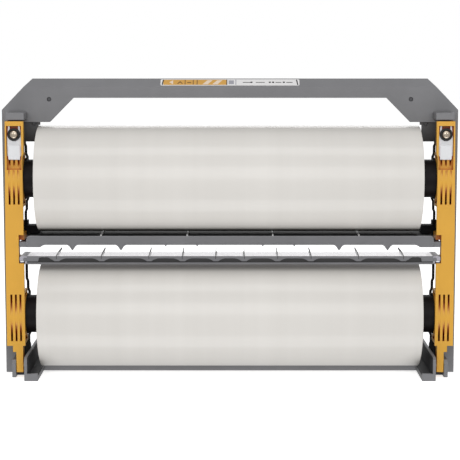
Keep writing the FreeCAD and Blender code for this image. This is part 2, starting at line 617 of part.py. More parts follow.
def make_guide_carrier():
    """Black roof over the guide, with an end bracket at each side that the rails stand on."""
    roof = block(("-160.9", "160.9"), (ahead("guide_front - 2.4"), behind(20)), ("roof_low", "roof_high"))
    bracket = block(("tab_x", "lug_end"), (behind(1), behind(12)), ("roof_high", "carrier_top"))
    bracket_foot = block(("guide_half + 1", "lug_end"), (behind(1), behind(12)),
                         ("high_shelf + wall", "roof_high"))
    post = block(("rail_x - 1", "lug_end"), (behind(4), behind(12)), ("carrier_top", "carrier_top + 3.5"))
    node("guide_carrier", fuse(roof, *both(bracket), *both(bracket_foot), *both(post)))


def make_lower_jaw():
    """Lower half of the film guide: a film table with a front lip and end lugs."""
    table = block(("-guide_half", "guide_half"), (ahead("guide_front - 2"), behind(6)),
                  ("table_z - 2.5", "table_z"))
    lip = block(("-guide_half", "guide_half"), (ahead("guide_front"), ahead("guide_front - 2")),
                ("table_low", "table_z"))
    lug = cut(block(("guide_half", "lug_end"), (ahead(19.5), behind(8)), ("low_shelf + wall", "table_z")),
              rod("1.5", ("lug_screw_x", behind(LOWER_LUG_SCREW), 93), "4.6"))
    node("lower_guide_jaw", fuse(table, lip, *both(lug)))


def make_guide_fins():
    """Ten thin fins that carry the film over the lower jaw and past its back edge."""
    fins = []
    for x in FINS:
        fins += both(block((x - 0.6, x + 0.6), (ahead("guide_front - 0.5"), behind(20)),
                           ("table_z", "table_z + 2")))
    node("guide_fins", group(*fins))


def make_guide_screws():
    """One up into each lower lug, one down into each upper lug."""
    x, y = "lug_screw_x", behind(LOWER_LUG_SCREW)
    lower = fuse(rod("2.6", (x, y, "low_shelf - 1.7"), "1.7"), rod("1.45", (x, y, "low_shelf"), "6.2"))
    y = behind(UPPER_LUG_SCREW)
    upper = fuse(rod("2.6", (x, y, "high_shelf + wall"), "1.7"),
                 rod("1.45", (x, y, "high_shelf - 3.5"), "6.5"))
    node("guide_screws", group(*both(lower), *both(upper)))


def check_and_write():
    doc.recompute()
    for item in doc.Objects:
        if "Invalid" in item.State or "Error" in item.State:
            raise RuntimeError("%s (%s) failed: %s" % (item.Name, item.Label, item.State))
    for item in nodes:
        if item.Shape.isNull() or not item.Shape.isValid() or not item.Shape.Solids:
            raise RuntimeError("%s has no valid solid" % item.Label)
    os.makedirs("parts", exist_ok=True)
    for item in nodes:
        item.Shape.exportStep(os.path.join("parts", item.Label + ".step"))
        box = item.Shape.BoundBox
        print("%-20s %2d solids %9.0f mm3  X %7.1f %7.1f  Y %6.1f %6.1f  Z %6.1f %6.1f" % (
            item.Label, len(item.Shape.Solids), item.Shape.Volume,
            box.XMin, box.XMax, box.YMin, box.YMax, box.ZMin, box.ZMax))


make_sheet()
make_bridge()
make_frame_screws()
make_label()
make_side_frame()
make_bearing_rail()
make_foot_liner()
make_cap()
make_base()
make_base_screws()
make_pivot_pins()
make_roll("upper", "upper_z")
make_roll("lower", "lower_z")
make_arm()
make_brake_pads()
make_latch()
make_latch_screw()
make_latch_washer()
make_upper_jaw()
make_guide_carrier()
make_lower_jaw()
make_guide_fins()
make_guide_screws()
check_and_write()
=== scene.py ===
import json
import math
import random

import bmesh
import bpy
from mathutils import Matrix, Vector


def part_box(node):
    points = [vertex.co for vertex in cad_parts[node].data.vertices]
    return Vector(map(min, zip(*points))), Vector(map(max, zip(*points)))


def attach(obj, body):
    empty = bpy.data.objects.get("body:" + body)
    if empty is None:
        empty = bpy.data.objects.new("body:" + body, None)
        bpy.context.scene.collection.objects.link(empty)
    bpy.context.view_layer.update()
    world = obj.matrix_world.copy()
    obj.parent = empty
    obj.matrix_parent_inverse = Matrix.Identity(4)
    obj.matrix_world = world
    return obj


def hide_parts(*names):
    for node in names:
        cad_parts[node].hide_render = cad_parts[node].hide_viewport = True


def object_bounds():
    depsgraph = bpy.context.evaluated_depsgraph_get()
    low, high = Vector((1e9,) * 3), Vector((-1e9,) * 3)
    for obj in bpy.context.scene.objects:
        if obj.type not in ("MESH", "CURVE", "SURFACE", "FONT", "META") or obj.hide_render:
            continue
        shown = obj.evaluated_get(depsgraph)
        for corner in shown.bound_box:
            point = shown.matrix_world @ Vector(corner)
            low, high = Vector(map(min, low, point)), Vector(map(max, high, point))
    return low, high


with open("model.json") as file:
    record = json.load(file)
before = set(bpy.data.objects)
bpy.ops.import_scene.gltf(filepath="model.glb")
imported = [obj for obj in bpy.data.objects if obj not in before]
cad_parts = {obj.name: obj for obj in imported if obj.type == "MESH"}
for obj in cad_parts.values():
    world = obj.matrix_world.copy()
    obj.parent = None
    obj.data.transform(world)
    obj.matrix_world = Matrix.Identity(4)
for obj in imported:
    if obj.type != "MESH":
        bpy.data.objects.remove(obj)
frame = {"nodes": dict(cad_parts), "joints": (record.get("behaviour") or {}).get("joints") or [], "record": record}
cad_low, cad_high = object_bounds()

MM = 0.001
AMBIENT = 0.46  # strength of the white surroundings, except where the camera sees them
FINE_GRAIN = 2600.0  # noise scale of a spark-eroded mould
CLOSED_AT = 0.12  # share of the sky that still shows at the bottom of a groove
OCCLUSION_SAMPLES = 12


# ---------------------------------------------------------------- materials

def new_material(name):
    """A node material with its tree and its shader, already joined to the output."""
    material = bpy.data.materials.new(name)
    material.use_nodes = True
    tree = material.node_tree
    tree.nodes.clear()
    output = tree.nodes.new("ShaderNodeOutputMaterial")
    shader = tree.nodes.new("ShaderNodeBsdfPrincipled")
    tree.links.new(shader.outputs["BSDF"], output.inputs["Surface"])
    return material, tree, shader


def place(tree, scale=(1, 1, 1)):
    """Object coordinates, stretched by scale."""
    coordinates = tree.nodes.new("ShaderNodeTexCoord")
    mapping = tree.nodes.new("ShaderNodeMapping")
    mapping.inputs["Scale"].default_value = scale
    tree.links.new(coordinates.outputs["Object"], mapping.inputs["Vector"])
    return mapping.outputs["Vector"]


def noise(tree, scale, detail=2.0, stretch=(1, 1, 1), roughness=0.5):
    texture = tree.nodes.new("ShaderNodeTexNoise")
    texture.inputs["Scale"].default_value = scale
    texture.inputs["Detail"].default_value = detail
    texture.inputs["Roughness"].default_value = roughness
    tree.links.new(place(tree, stretch), texture.inputs["Vector"])
    return texture.outputs["Fac"]


def spread(tree, value, low, high, from_low=0.3, from_high=0.7):
    """Map a value from one range onto another, by default from a noise texture's middle values."""
    node = tree.nodes.new("ShaderNodeMapRange")
    node.inputs["From Min"].default_value = from_low
    node.inputs["From Max"].default_value = from_high
    node.inputs["To Min"].default_value = low
    node.inputs["To Max"].default_value = high
    tree.links.new(value, node.inputs["Value"])
    return node.outputs["Result"]


def blend(tree, factor, first, second):
    """Between two colours, each of which is a socket or three numbers."""
    mix = tree.nodes.new("ShaderNodeMix")
    mix.data_type = "RGBA"
    for value, name in ((first, "A"), (second, "B")):
        if isinstance(value, tuple):
            mix.inputs[name].default_value = (*value, 1)
        else:
            tree.links.new(value, mix.inputs[name])
    tree.links.new(factor, mix.inputs["Factor"])
    return mix.outputs["Result"]


def mottle(tree, texture, first, second):
    """Two colours, mixed by a texture."""
    return blend(tree, spread(tree, texture, 0.0, 1.0), first, second)


def bump(tree, shader, height, distance):
    node = tree.nodes.new("ShaderNodeBump")
    node.inputs["Distance"].default_value = distance
    tree.links.new(height, node.inputs["Height"])
    tree.links.new(node.outputs["Normal"], shader.inputs["Normal"])


def set_surface(tree, shader, tone, texture, roughness, unevenness, depth_mm):
    """A tone, a roughness that a fine texture varies up and down, and that texture as relief."""
    tree.links.new(tone, shader.inputs["Base Color"])
    tree.links.new(spread(tree, texture, roughness - unevenness[0], roughness + unevenness[1]),
                   shader.inputs["Roughness"])
    bump(tree, shader, texture, depth_mm * MM)


def painted_crevice_shade(tree, reach, open_at=0.75):
    """Mask for painted shade: 1 where at least open_at of the sky shows within reach, falling to 0 deep in a
    groove or corner.
    """
    node = tree.nodes.new("ShaderNodeAmbientOcclusion")
    node.samples = OCCLUSION_SAMPLES
    node.inputs["Distance"].default_value = reach
    return spread(tree, node.outputs["AO"], 0.0, 1.0, from_low=CLOSED_AT, from_high=open_at)


def shade(colour, factor):
    return tuple(min(1.0, channel * factor) for channel in colour)


def moulded_plastic(name, colour, roughness=0.45, depth=0.03, flow=0.06, specular=0.5, deep=None,
                    reach=8 * MM):
    """Spark-eroded injection moulding: a fine even grain in relief and gloss, and faint flow clouds in its
    colour. Deep is painted shade: the colour mixed in at the bottom of the piece's grooves and corners."""
    material, tree, shader = new_material(name)
    clouds = noise(tree, 35.0, detail=4.0)
    fine = noise(tree, FINE_GRAIN, detail=3.0)
    tone = mottle(tree, clouds, shade(colour, 1 - flow), shade(colour, 1 + flow))
    if deep:
        # Painted shade: the deep colour is mixed in where ambient occlusion finds a groove or a corner.
        tone = blend(tree, painted_crevice_shade(tree, reach), deep, tone)
    set_surface(tree, shader, tone, fine, roughness, (0.06, 0.06), depth)
    shader.inputs["Specular IOR Level"].default_value = specular
    return material


def plastic_with_painted_light(name, low_colour, high_colour, axis, start, end, roughness=0.45, painted_glow=0.0):
    """Moulding whose tone drifts between two colours from start to end along an axis of the object, with
    faint clouds. The drift is painted light and shade. Glow is painted light too: an emission that stands for the
    light that comes through a clear one."""
    material, tree, shader = new_material(name)
    split = tree.nodes.new("ShaderNodeSeparateXYZ")
    tree.links.new(tree.nodes.new("ShaderNodeTexCoord").outputs["Object"], split.inputs["Vector"])
    clouds = noise(tree, 45.0, detail=3.0)
    fine = noise(tree, FINE_GRAIN, detail=3.0)
    # Painted light and shade: lighter towards one end of the axis.
    painted_light_drift = spread(tree, split.outputs[axis], 0.0, 1.0, from_low=start, from_high=end)
    tone = blend(tree, painted_light_drift, low_colour, high_colour)
    tone = blend(tree, spread(tree, clouds, 0.0, 0.12), tone, shade(high_colour, 0.8))
    set_surface(tree, shader, tone, fine, roughness, (0.05, 0.05), 0.02)
    # Painted glow: the part emits its own tone.
    if painted_glow:
        tree.links.new(tone, shader.inputs["Emission Color"])
        shader.inputs["Emission Strength"].default_value = painted_glow
    return material


def film_material(name):
    """Wound frosted film: satin under a clear gloss, fine turns and faint bands across its width, and a
    painted shade, darkening towards near black, where the guide lies close over it."""
    material, tree, shader = new_material(name)
    bands = noise(tree, 60.0, detail=3.0, stretch=(1, 0.02, 0.02))
    threads = noise(tree, 900.0, detail=2.0, stretch=(1, 0.01, 0.01))
    clouds = noise(tree, 9.0, detail=3.0)
    tone = mottle(tree, bands, (0.735, 0.710, 0.672), (0.765, 0.740, 0.702))
    # Painted shade: near black mixed in wherever other parts lie close over the film.
    tone = blend(tree, painted_crevice_shade(tree, 22 * MM, open_at=0.95), (0.08, 0.073, 0.06), tone)
    tree.links.new(tone, shader.inputs["Base Color"])
    tree.links.new(spread(tree, clouds, 0.42, 0.52), shader.inputs["Roughness"])
    shader.inputs["Coat Weight"].default_value = 0.5
    shader.inputs["Coat Roughness"].default_value = 0.16
    bump(tree, shader, threads, 0.004 * MM)
    return material


def turned_metal(name, colour, roughness=0.28):
    """Plated steel with fine turning marks in its colour, gloss and relief."""
    material, tree, shader = new_material(name)
    fine = noise(tree, 3000.0, detail=3.0)
    tone = mottle(tree, fine, shade(colour, 0.9), shade(colour, 1.08))
    set_surface(tree, shader, tone, fine, roughness, (0.06, 0.08), 0.01)
    shader.inputs["Metallic"].default_value = 1.0
    return material


def rubber_material(name):
    material, tree, shader = new_material(name)
    fine = noise(tree, 2400.0, detail=4.0)
    tone = mottle(tree, fine, (0.005, 0.005, 0.005), (0.012, 0.011, 0.011))
    set_surface(tree, shader, tone, fine, 0.6, (0.1, 0.1), 0.03)
    return material


def fibre_material(name, scale, detail, stretch, roughness, tones, dull, depth_mm):
    """Fibres in two tones and in relief, with an even dull surface."""
    material, tree, shader = new_material(name)
    fibres = noise(tree, scale, detail=detail, stretch=stretch, roughness=roughness)
    tree.links.new(mottle(tree, fibres, *tones), shader.inputs["Base Color"])
    shader.inputs["Roughness"].default_value = dull
    bump(tree, shader, fibres, depth_mm * MM)
    return material, shader


def felt_material(name):
    """Pressed felt of the brake pads."""
    material, shader = fibre_material(name, 1800.0, 8.0, (1, 0.4, 1), 0.7,
                                      ((0.12, 0.12, 0.11), (0.24, 0.24, 0.22)), 0.95, 0.2)
    shader.inputs["Sheen Weight"].default_value = 0.4
    return material


def board_material(name):
    """Spiral wound board of the core tubes."""
    material, _ = fibre_material(name, 700.0, 6.0, (0.3, 1, 1), 0.65,
                                 ((0.36, 0.32, 0.26), (0.50, 0.45, 0.38)), 0.85, 0.05)
    return material


def print_ink(name, colour):
    """Ink of the label's print."""
    return moulded_plastic(name, colour, roughness=0.32, depth=0.005, flow=0.02)


MATERIALS = {
    # Painted shade: near-black grey mixed in where the frame's grooves and corners lie within 5 mm.
    "frame_grey": moulded_plastic("frame_grey", (0.205, 0.205, 0.214), deep=(0.05, 0.05, 0.053),
                                  reach=5 * MM),
    "rail_black": moulded_plastic("rail_black", (0.006, 0.006, 0.007), roughness=0.6, specular=0.12),
    "liner": moulded_plastic("liner", (0.028, 0.028, 0.030), roughness=0.6, specular=0.3),
    # Painted shade and light: the rails' upper tabs near black at the bottom, greyer towards the top where the
    # light falls.
    "rail_tab": plastic_with_painted_light("rail_tab", (0.006, 0.006, 0.007), (0.13, 0.13, 0.135), "Z", 0.186, 0.207,
                               roughness=0.55),
    "plug_black": moulded_plastic("plug_black", (0.010, 0.008, 0.009), roughness=0.5, specular=0.15),
    # Painted shade: dark red mixed in at the bottom of the arms' grooves, recesses and notches.
    "arm_yellow": moulded_plastic("arm_yellow", (0.76, 0.40, 0.045), roughness=0.40, flow=0.03,
                                  deep=(0.42, 0.035, 0.004), reach=9 * MM),
    "latch_white": moulded_plastic("latch_white", (0.80, 0.81, 0.83), roughness=0.35, flow=0.02),
    "guide_grey": moulded_plastic("guide_grey", (0.19, 0.19, 0.20), roughness=0.35),
    # Painted highlight: a lighter grey for the guide's beads, standing for the light their edges catch.
    "guide_edge_highlight": moulded_plastic("guide_edge_highlight", (0.25, 0.25, 0.265), roughness=0.30),
    "guide_lug": moulded_plastic("guide_lug", (0.42, 0.41, 0.45), roughness=0.30),
    # Painted light: the table lighter towards +X as if lit from that side, and a glow that stands for light coming
    # through the clear moulding.
    "guide_clear": plastic_with_painted_light("guide_clear", (0.54, 0.53, 0.545), (0.65, 0.64, 0.65), "X", -0.16, 0.16,
                                  roughness=0.25, painted_glow=0.75),
    "guide_shadow": moulded_plastic("guide_shadow", (0.050, 0.049, 0.050), roughness=0.5, specular=0.3),
    # Painted highlight on the fin webs; the roof ribs use the same light colour as their own.
    "white_fin_highlight_and_roof_rib": moulded_plastic("white_fin_highlight_and_roof_rib", (0.85, 0.85, 0.85), roughness=0.3, flow=0.01),
    "film": film_material("film"),
    "core_board": board_material("core_board"),
    "label": moulded_plastic("label_stock", (0.80, 0.79, 0.79), roughness=0.30, depth=0.005, flow=0.01),
    "screw_steel": turned_metal("screw_steel", (0.60, 0.52, 0.42)),
    "screw_dark": turned_metal("screw_dark", (0.10, 0.10, 0.105), roughness=0.4),
    "washer_rubber": rubber_material("washer_rubber"),
    "felt": felt_material("felt"),
}
PRINTS = {
    "orange": print_ink("print_orange", (0.66, 0.36, 0.075)),
    "brown": print_ink("print_brown", (0.22, 0.11, 0.03)),
    "pale": print_ink("print_pale", (0.80, 0.66, 0.52)),
    "ink": print_ink("print_ink", (0.02, 0.02, 0.02)),
    "grey": print_ink("print_grey", (0.36, 0.36, 0.40)),
}
# CAD nodes, by the end of their names, that look other than their slot: the rails' upper ends, painted
# from near black up to grey as shade and light, the liners in the feet, and the guide's blackened screws.
OWN_LOOK = {"bearing_rail": "rail_tab", "foot_liner": "liner", "guide_screws": "screw_dark"}


def dress(piece, slot):
    """Give a piece the material of the record's slot that it comes from."""
    piece.data.materials.clear()
    piece.data.materials.append(MATERIALS[slot])


# ---------------------------------------------------------------- CAD nodes that stay

EDGE_MM = {"bridge_handle": 0.35, "side_frame": 0.35, "base_tray": 0.5, "arm": 0.35, "cap_block": 0.2,
           "upper_guide_jaw": 0.3, "lower_guide_jaw": 0.3, "guide_fins": 0.15, "latch": 0.25,
           "bearing_rail": 0.2, "plug": 0.4}
DEFAULT_EDGE_MM = 0.15
WELD_MM = 0.002
FLAT_ANGLE = math.radians(1)  # faces that meet at less count as one
EDGE_ANGLE = math.radians(40)  # edges sharper than this are rounded


def by_ending(table, node, default=None):
    """The value of the first key that the node's name ends with."""
    for ending, value in table.items():
        if node.endswith(ending):
            return value
    return default


def round_edges(piece, width_mm):
    """Moulded radii on a piece's sharp edges, as modifiers, so that its own mesh stays as it is."""
    weld = piece.modifiers.new("weld", "WELD")
    weld.merge_threshold = WELD_MM * MM
    flatten = piece.modifiers.new("flatten", "DECIMATE")
    flatten.decimate_type = "DISSOLVE"
    flatten.angle_limit = FLAT_ANGLE
    bevel = piece.modifiers.new("edges", "BEVEL")
    bevel.width = width_mm * MM
    bevel.segments = 2
    bevel.limit_method = "ANGLE"
    bevel.angle_limit = EDGE_ANGLE
    bevel.use_clamp_overlap = True
    bevel.harden_normals = False


def dress_cad_nodes():
    """Materials and rounded edges for every CAD node. The ones that a piece replaces aren't shown."""
    slots = {row["node"]: row["material_slot"] for row in frame["record"]["subparts"]}
    for name, piece in frame["nodes"].items():
        dress(piece, slots[name])
        look = by_ending(OWN_LOOK, name)
        if look:
            piece.data.materials[0] = MATERIALS[look]
        round_edges(piece, by_ending(EDGE_MM, name, DEFAULT_EDGE_MM))
        for polygon in piece.data.polygons:
            polygon.use_smooth = False


# ---------------------------------------------------------------- pieces

JOINT_PLACE = {joint["name"]: joint["pos_m"] for joint in frame["joints"] if joint.get("pos_m")}
AXIS_Y = JOINT_PLACE["upper_roll_spin"][1] / MM
ROLLS = ("upper", "lower")
ROLL_Z = {name: JOINT_PLACE[name + "_roll_spin"][2] / MM for name in ROLLS}
SIDES = (("right", 1), ("left", -1))  # and the sign of X there
SMOOTH_ANGLE = math.radians(32)

# Sizes of the rolls, in millimetres.
FILM_SHIFT = {"upper": -1.0, "lower": -0.1}  # how far each roll of film sits off the middle
CORE_RADIUS, CORE_WALL = 20.0, 2.5
SPIGOT_RADIUS, JOURNAL_RADIUS = 17.48, 15.2
SPIGOT_IN, SPIGOT_OUT = 131.2, 149.0  # X of the ends of a plug's spigot, on the right

# Sizes of the film guide, in millimetres. A depth is how far ahead of the roll axes a face lies.
FINS_X = (11.2, 37.7, 64.2, 102.0, 137.7)
PADS_X = sorted([-x for x in FINS_X] + list(FINS_X))
LUG_LONG = 5.8  # a guide lug, past the end of its jaw
JAW_TEETH = ((26.0, 1.2, 1.2), (51.0, 1.2, 1.2), (86.6, 4.3, 4.3), (125.1, 4.3, 4.3))  # X, half width, drop
LIP_FRONT, LIP_BACK, LIP_BREAK = 20.0, 17.0, 0.3  # depths of the lower jaw's lip, and its broken edges
LIP_TALL, PAD_DROP, LIP_END_TALL = 1.7, 2.3, 4.2  # lip between pads, a pad below that, lip at its ends
WEB_BACK, WEB_FRONT = 16.6, 18.4  # depths of the web under that lip
TABLE_BACK, TABLE_FRONT = -6.0, 18.2
LOWER_LUG_BACK, LOWER_LUG_FRONT = -8.0, 19.5
UPPER_LIP_BACK, UPPER_LIP_FRONT = 17.8, 19.6
BEAD_BACK, BEAD_FRONT, TOOTH_BEAD_FRONT = 19.4, 19.95, 19.9
UPPER_LUG_BACK, UPPER_LUG_LOW, UPPER_LUG_TALL = -20.0, 105.2, 4.3
ROOF_BACK, ROOF_FRONT = -19.0, 19.0
ROOF_RIBS_X = (34.0, 102.5)


def box_mm(node):
    low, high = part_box(node)
    return Vector(low) / MM, Vector(high) / MM


def closed_mesh(name, vertices, faces):
    """A mesh from corner points in millimetres, with its faces turned outwards."""
    mesh = bpy.data.meshes.new(name)
    mesh.from_pydata([Vector(v) * MM for v in vertices], [], faces)
    mesh.validate()
    work = bmesh.new()
    work.from_mesh(mesh)
    bmesh.ops.recalc_face_normals(work, faces=work.faces)
    work.to_mesh(mesh)
    work.free()
    return mesh


def skin(count, ring, closed=False):
    """Faces over a section of ring corners that is repeated count times, with two end faces unless the
    last section joins the first."""
    last = (count - 1) * ring
    faces = [] if closed else [tuple(range(ring)), tuple(range(last, last + ring))]
    for step in range(count if closed else count - 1):
        here, there = step * ring, (step + 1) % count * ring
        for i in range(ring):
            j = (i + 1) % ring
            faces.append((here + i, here + j, there + j, there + i))
    return faces


def add_piece(name, vertices, faces, slot, body, replaces=(), material=None, smooth=False, edge=0.0):
    """A closed mesh in millimetres, which rides a body and may stand for CAD nodes."""
    mesh = closed_mesh(name, vertices, faces)
    if smooth:
        for polygon in mesh.polygons:
            polygon.use_smooth = True
        mesh.set_sharp_from_angle(angle=SMOOTH_ANGLE)
    piece = bpy.data.objects.new(name, mesh)
    bpy.context.scene.collection.objects.link(piece)
    dress(piece, slot)
    if material:
        piece.data.materials[0] = material
    if edge:
        round_edges(piece, edge)
    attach(piece, body)
    if replaces:
        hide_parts(*replaces)
    return piece


def lathe(name, profile, axis, centre, slot, body, steps=96, **extra):
    """A closed profile of (along the axis, radius) turned about X or Y through a centre."""
    vertices = []
    for step in range(steps):
        turn = 2 * math.pi * step / steps
        for along, radius in profile:
            side, up = radius * math.cos(turn), radius * math.sin(turn)
            offset = (along, side, up) if axis == "X" else (side, along, up)
            vertices.append(Vector(centre) + Vector(offset))
    return add_piece(name, vertices, skin(steps, len(profile), closed=True), slot, body, smooth=True, **extra)


def plate(name, outline, back, front, slot, body, **extra):
    """An outline in XZ between two depths."""
    vertices = [(x, back, z) for x, z in outline] + [(x, front, z) for x, z in outline]
    return add_piece(name, vertices, skin(2, len(outline)), slot, body, **extra)


def beam(name, section, low, high, slot, body, **extra):
    """A section in YZ run along X."""
    vertices = [(low, y, z) for y, z in section] + [(high, y, z) for y, z in section]
    return add_piece(name, vertices, skin(2, len(section)), slot, body, **extra)


def ahead(distance):
    """The Y of a place that far ahead of the roll axes, in millimetres."""
    return AXIS_Y - distance


def make_films():
    """Wound film: end faces where the turns lie not quite level, and soft outer edges. Its core tube
    shows as a rim at each end."""
    rng = random.Random(11)
    turns = 26  # rings on an end face
    end_gap = 0.3  # keeps the uneven turns inside the CAD film's ends
    for name in ROLLS:
        low, high = box_mm(name + "_film")
        outer = (high.z - low.z) / 2
        half = high.x - end_gap
        face = []
        for turn in range(turns + 1):
            radius = CORE_RADIUS + (outer - 0.5 - CORE_RADIUS) * turn / turns
            face.append((rng.uniform(-0.12, 0.05), radius))
        face += [(-0.12, outer - 0.28), (-0.3, outer - 0.1), (-0.6, outer)]
        right = [(half + step, radius) for step, radius in face]
        left = [(-half - step, radius) for step, radius in reversed(face)]
        centre = (FILM_SHIFT[name], AXIS_Y, ROLL_Z[name])
        lathe(name + "_film_roll", right + left, "X", centre, "film", name + "_roll", steps=160,
              replaces=(name + "_film",))
        rim, chamfer, inside = half - 0.1, 0.3, CORE_RADIUS - CORE_WALL
        end = [(rim - chamfer, CORE_RADIUS - 0.02), (rim, CORE_RADIUS - chamfer), (rim, inside + chamfer),
               (rim - chamfer, inside)]
        tube = end + [(-along, radius) for along, radius in reversed(end)]
        lathe(name + "_core_board", tube, "X", centre, "core_board", name + "_roll",
              replaces=(name + "_core_tube",))


def make_plugs():
    """Turned journals with a chamfered end and a shallow dish, each on a plain spigot in the core."""
    chamfer, slope = 0.4, 0.6
    dish_radius, dish_depth = 11.0, 0.8
    for name in ROLLS:
        for side, sign in SIDES:
            node = "%s_%s_plug" % (name, side)
            low, high = box_mm(node)
            end = high.x if sign > 0 else -low.x
            profile = [(SPIGOT_IN, 0.0), (SPIGOT_IN, SPIGOT_RADIUS - 0.28),
                       (SPIGOT_IN + chamfer, SPIGOT_RADIUS), (SPIGOT_OUT - chamfer, SPIGOT_RADIUS),
                       (SPIGOT_OUT, SPIGOT_RADIUS - 0.38), (SPIGOT_OUT, JOURNAL_RADIUS),
                       (end - 0.7, JOURNAL_RADIUS), (end, JOURNAL_RADIUS - slope), (end, dish_radius),
                       (end - dish_depth, dish_radius - slope), (end - dish_depth, 0.0)]
            lathe("%s_%s_journal" % (name, side), [(sign * along, radius) for along, radius in profile],
                  "X", (0, AXIS_Y, ROLL_Z[name]), "plug_black", name + "_roll", replaces=(node,))


def cut_with(piece, vertices, faces):
    """Take a closed shape in millimetres out of a piece's mesh."""
    mesh = closed_mesh("cutter", vertices, faces)
    cutter = bpy.data.objects.new("cutter", mesh)
    bpy.context.scene.collection.objects.link(cutter)
    groove = piece.modifiers.new("groove", "BOOLEAN")
    groove.operation = "DIFFERENCE"
    groove.solver = "EXACT"
    groove.object = cutter
    bpy.context.view_layer.update()
    cut_mesh = bpy.data.meshes.new_from_object(piece.evaluated_get(bpy.context.evaluated_depsgraph_get()))
    piece.modifiers.clear()
    piece.data = cut_mesh
    bpy.data.objects.remove(cutter)
    bpy.data.meshes.remove(mesh)


def screw_head(name, centre, radius, rise, slot, body, cross, **extra):
    """A pan head that faces -Y, with a cross recess cut into its crown."""
    rim, crown = 0.35, 0.25  # the straight rim's share of the rise, and the flat crown's of the radius
    steps = 8
    profile = [(0.0, 0.0), (0.0, radius)]
    for step in range(steps + 1):
        turn = math.pi / 2 * step / steps
        profile.append((-rise * rim - rise * (1 - rim) * math.sin(turn),
                        radius * (crown + (1 - crown) * math.cos(turn))))
    profile.append((-rise, 0.0))
    head = lathe(name, profile, "Y", centre, slot, body, steps=64, **extra)
    narrow = cross * 0.2
    # Y of the cutter's two ends, and how wide it is there.
    above, below = (-rise - 0.5, 1.15), (-rise + 0.9, 0.55)
    for wide, tall in ((cross, narrow), (narrow, cross)):
        vertices = []
        for y, grow in (above, below):
            for sx, sz in ((-1, -1), (1, -1), (1, 1), (-1, 1)):
                vertices.append((centre[0] + sx * wide * grow, centre[1] + y, centre[2] + sz * tall * grow))
        cut_with(head, vertices, skin(2, 4))


def make_latch_fasteners():
    """Pan-headed screw on a fat rubber ring, over each latch."""
    rise, cross = 1.9, 1.75
    ring_bore, flatness, ring_steps = 2.9, 0.85, 20
    for side, _ in SIDES:
        low, high = box_mm(side + "_latch_screw")
        x, z = (low.x + high.x) / 2, (low.z + high.z) / 2
        screw_head(side + "_latch_screw_head", (x, low.y + rise, z), (high.x - low.x) / 2, rise,
                   "screw_steel", side + "_side_arm", cross, replaces=(side + "_latch_screw",))
        low, high = box_mm(side + "_latch_washer")
        outer = (high.x - low.x) / 2
        middle, thick = (outer + ring_bore) / 2, (outer - ring_bore) / 2
        ring = []
        for step in range(ring_steps):
            turn = 2 * math.pi * step / ring_steps
            ring.append((thick * flatness * math.sin(turn), middle + thick * math.cos(turn)))
        lathe(side + "_rubber_ring", ring, "Y", (x, (low.y + high.y) / 2, z), "washer_rubber",
              side + "_side_arm", steps=72, replaces=(side + "_latch_washer",))


def pad_drop(x):
    """How far the lip of the lower jaw comes down at X: 1 at each fin's pad, 0 between the pads."""
    pad_half, flank = 2.0, 6.0
    nearest = min(abs(x - pad) for pad in PADS_X)
    rise = min(1.0, max(0.0, (nearest - pad_half) / flank))
    return 1.0 - math.sin(rise * math.pi / 2) ** 0.75


